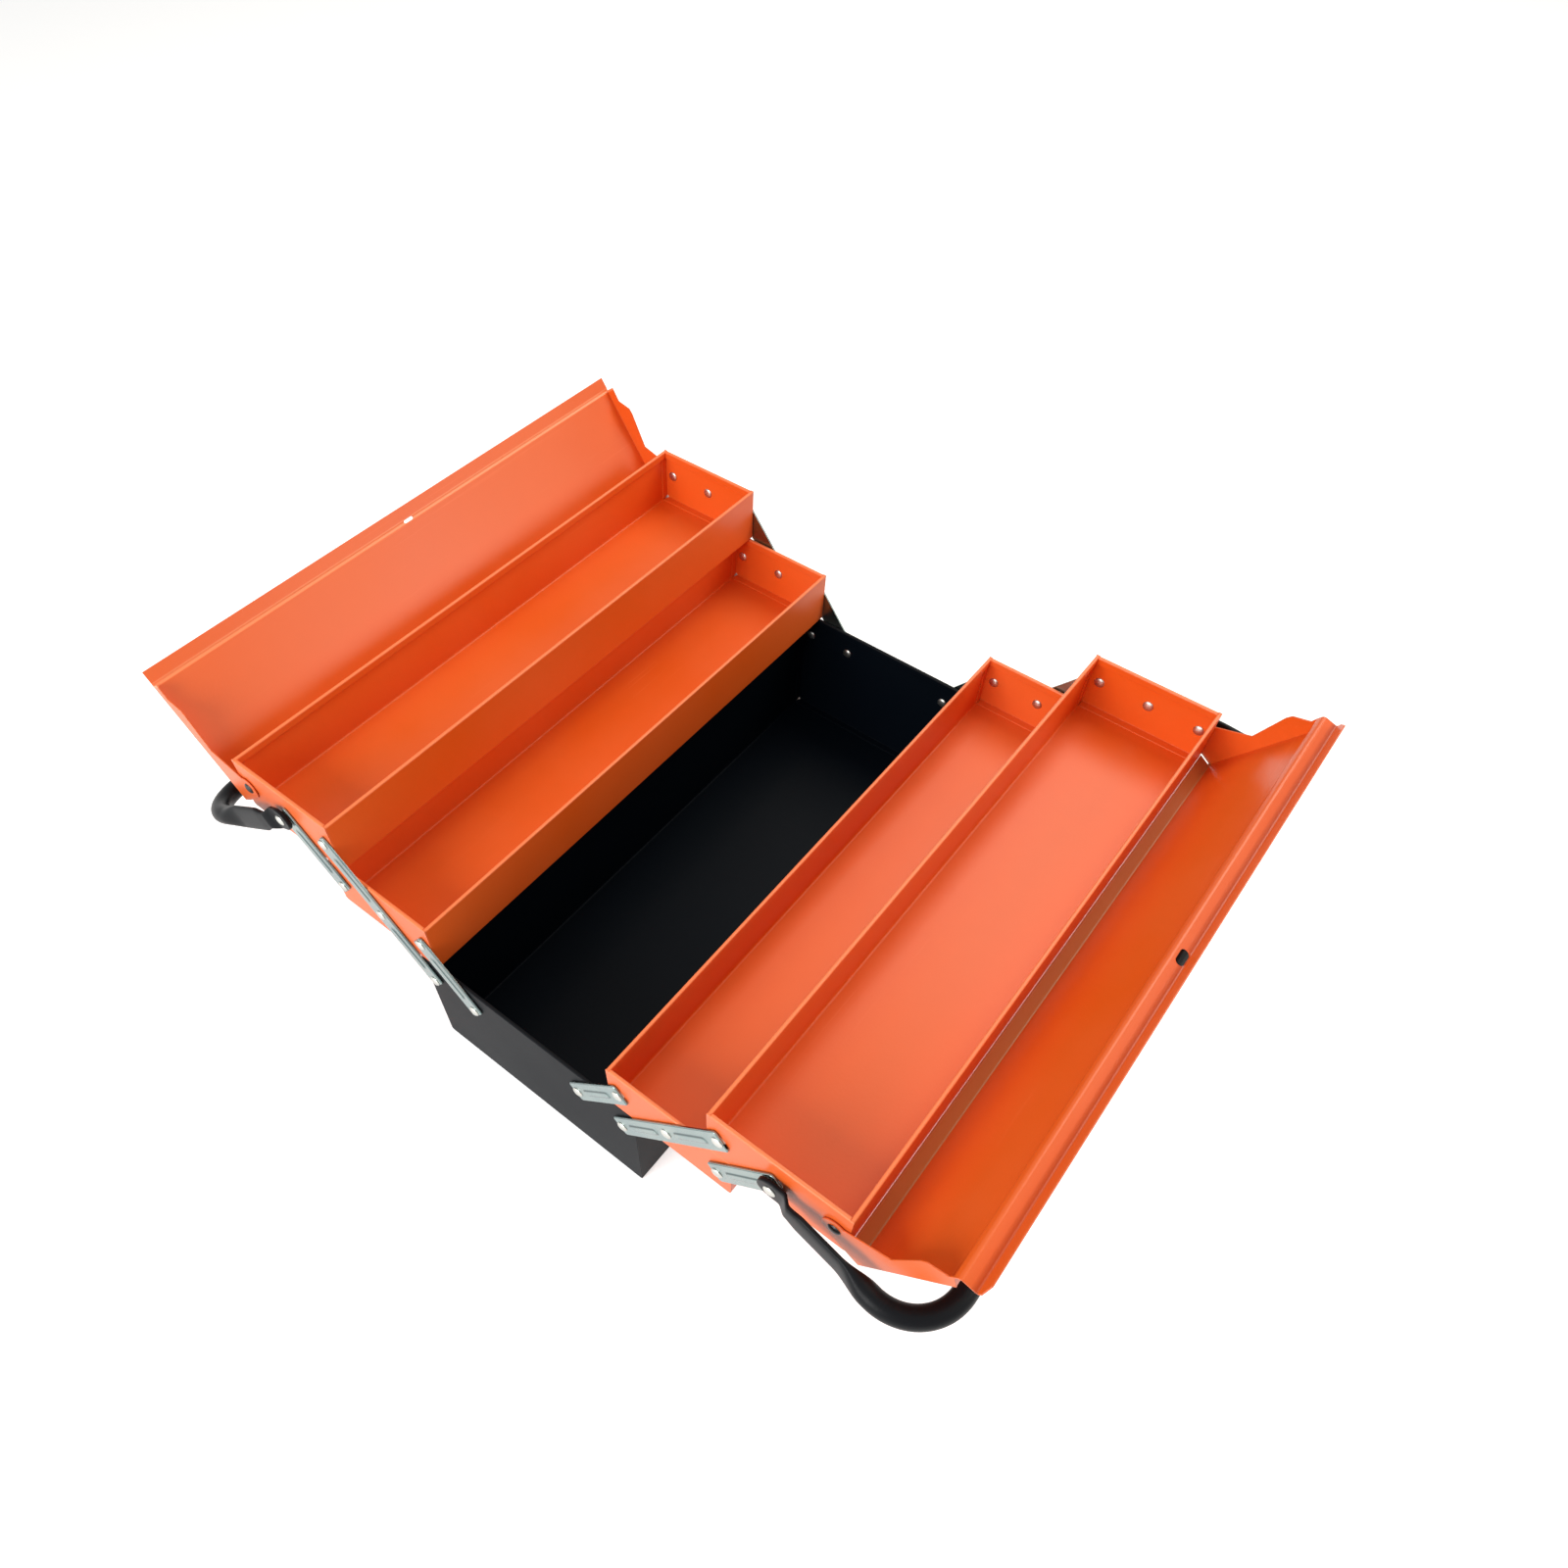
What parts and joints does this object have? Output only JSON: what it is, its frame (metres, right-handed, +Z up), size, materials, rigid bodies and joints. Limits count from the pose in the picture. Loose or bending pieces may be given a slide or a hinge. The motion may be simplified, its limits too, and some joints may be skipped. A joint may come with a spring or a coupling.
{
  "type": "cantilever toolbox",
  "caption": "Steel cantilever toolbox standing open: a deep base, trays stepped out on both sides on parallel links, hinged lids and fold-down bail handles.",
  "frame": {"origin": "middle of the base's underside, on the floor plane", "axes": "+Z up, +X to the right of the box, across its width, +Y along the box to its far end"},
  "size_m": [0.6549, 0.5064, 0.243],
  "materials": {
    "tray_paint": "satin orange powder coat",
    "base_paint": "satin dark grey powder coat",
    "link_zinc": "zinc-plated pressed steel",
    "rivet_zinc": "bright zinc-plated rivets",
    "handle_paint": "satin black paint"
  },
  "bodies": {
    "base": {"base_pan": "base_paint", "base_end_far": "base_paint", "base_end_near": "base_paint", "base_rivets": "rivet_zinc"},
    "right_short_links": {"right_short_link_far": "link_zinc", "right_short_link_near": "link_zinc"},
    "right_long_links": {"right_long_link_far": "link_zinc", "right_long_link_near": "link_zinc"},
    "right_third_links": {"right_third_link_far": "link_zinc", "right_third_link_near": "link_zinc"},
    "right_lower_tray": {"right_lower_tray_pan": "tray_paint", "right_lower_tray_end_far": "tray_paint", "right_lower_tray_end_near": "tray_paint", "right_lower_tray_rivets": "rivet_zinc"},
    "right_upper_tray": {"right_upper_tray_pan": "tray_paint", "right_upper_tray_end_far": "tray_paint", "right_upper_tray_end_near": "tray_paint", "right_upper_tray_rivets": "rivet_zinc"},
    "right_lid": {"right_lid": "tray_paint"},
    "right_bail": {"right_handle": "handle_paint"},
    "left_short_links": {"left_short_link_far": "link_zinc", "left_short_link_near": "link_zinc"},
    "left_long_links": {"left_long_link_far": "link_zinc", "left_long_link_near": "link_zinc"},
    "left_third_links": {"left_third_link_far": "link_zinc", "left_third_link_near": "link_zinc"},
    "left_lower_tray": {"left_lower_tray_pan": "tray_paint", "left_lower_tray_end_far": "tray_paint", "left_lower_tray_end_near": "tray_paint", "left_lower_tray_rivets": "rivet_zinc"},
    "left_upper_tray": {"left_upper_tray_pan": "tray_paint", "left_upper_tray_end_far": "tray_paint", "left_upper_tray_end_near": "tray_paint", "left_upper_tray_rivets": "rivet_zinc"},
    "left_lid": {"left_lid": "tray_paint"},
    "left_bail": {"left_handle": "handle_paint"}
  },
  "joints": [
    {"name": "right_fold", "type": "hinge", "parent": "base", "child": "right_long_links", "pos_m": [0.0888, 0, 0.0859], "axis": [0, -1, 0], "range_deg": [0, 79.66]},
    {"name": "right_short_link_swing", "type": "hinge", "parent": "base", "child": "right_short_links", "pos_m": [0.0493, 0, 0.0859], "axis": [0, -1, 0], "range_deg": [0, 79.66]},
    {"name": "right_lower_tray_swing", "type": "hinge", "parent": "right_long_links", "child": "right_lower_tray", "pos_m": [0.1285, 0, 0.1335], "axis": [0, -1, 0], "range_deg": [-79.66, 0]},
    {"name": "right_upper_tray_swing", "type": "hinge", "parent": "right_long_links", "child": "right_upper_tray", "pos_m": [0.1682, 0, 0.1811], "axis": [0, -1, 0], "range_deg": [-79.66, 0]},
    {"name": "right_third_link_swing", "type": "hinge", "parent": "right_lower_tray", "child": "right_third_links", "pos_m": [0.168, 0, 0.1335], "axis": [0, -1, 0], "range_deg": [0, 79.66]},
    {"name": "right_lid_hinge", "type": "hinge", "parent": "right_upper_tray", "child": "right_lid", "pos_m": [0.2472, 0, 0.1811], "axis": [0, -1, 0], "range_deg": [0, 119.47]},
    {"name": "right_handle_swing", "type": "hinge", "parent": "right_upper_tray", "child": "right_bail", "pos_m": [0.2077, 0, 0.1811], "axis": [0, -1, 0], "range_deg": [0, 118.41]},
    {"name": "left_fold", "type": "hinge", "parent": "base", "child": "left_long_links", "pos_m": [-0.0888, 0, 0.0859], "axis": [0, 1, 0], "range_deg": [0, 79.66]},
    {"name": "left_short_link_swing", "type": "hinge", "parent": "base", "child": "left_short_links", "pos_m": [-0.0493, 0, 0.0859], "axis": [0, 1, 0], "range_deg": [0, 79.66]},
    {"name": "left_lower_tray_swing", "type": "hinge", "parent": "left_long_links", "child": "left_lower_tray", "pos_m": [-0.1285, 0, 0.1335], "axis": [0, 1, 0], "range_deg": [-79.66, 0]},
    {"name": "left_upper_tray_swing", "type": "hinge", "parent": "left_long_links", "child": "left_upper_tray", "pos_m": [-0.1682, 0, 0.1811], "axis": [0, 1, 0], "range_deg": [-79.66, 0]},
    {"name": "left_third_link_swing", "type": "hinge", "parent": "left_lower_tray", "child": "left_third_links", "pos_m": [-0.168, 0, 0.1335], "axis": [0, 1, 0], "range_deg": [0, 79.66]},
    {"name": "left_lid_hinge", "type": "hinge", "parent": "left_upper_tray", "child": "left_lid", "pos_m": [-0.2472, 0, 0.1811], "axis": [0, 1, 0], "range_deg": [0, 119.47]},
    {"name": "left_handle_swing", "type": "hinge", "parent": "left_upper_tray", "child": "left_bail", "pos_m": [-0.2077, 0, 0.1811], "axis": [0, 1, 0], "range_deg": [0, 139.81]}
  ],
  "couplings": [
    {"joint": "right_short_link_swing", "follows": "right_fold", "ratio": 1},
    {"joint": "right_lower_tray_swing", "follows": "right_fold", "ratio": -1},
    {"joint": "right_upper_tray_swing", "follows": "right_fold", "ratio": -1},
    {"joint": "right_third_link_swing", "follows": "right_fold", "ratio": 1},
    {"joint": "right_handle_swing", "follows": "right_lid_hinge", "ratio": 0.99109},
    {"joint": "left_short_link_swing", "follows": "left_fold", "ratio": 1},
    {"joint": "left_lower_tray_swing", "follows": "left_fold", "ratio": -1},
    {"joint": "left_upper_tray_swing", "follows": "left_fold", "ratio": -1},
    {"joint": "left_third_link_swing", "follows": "left_fold", "ratio": 1},
    {"joint": "left_handle_swing", "follows": "left_lid_hinge", "ratio": 1.1702}
  ]
}
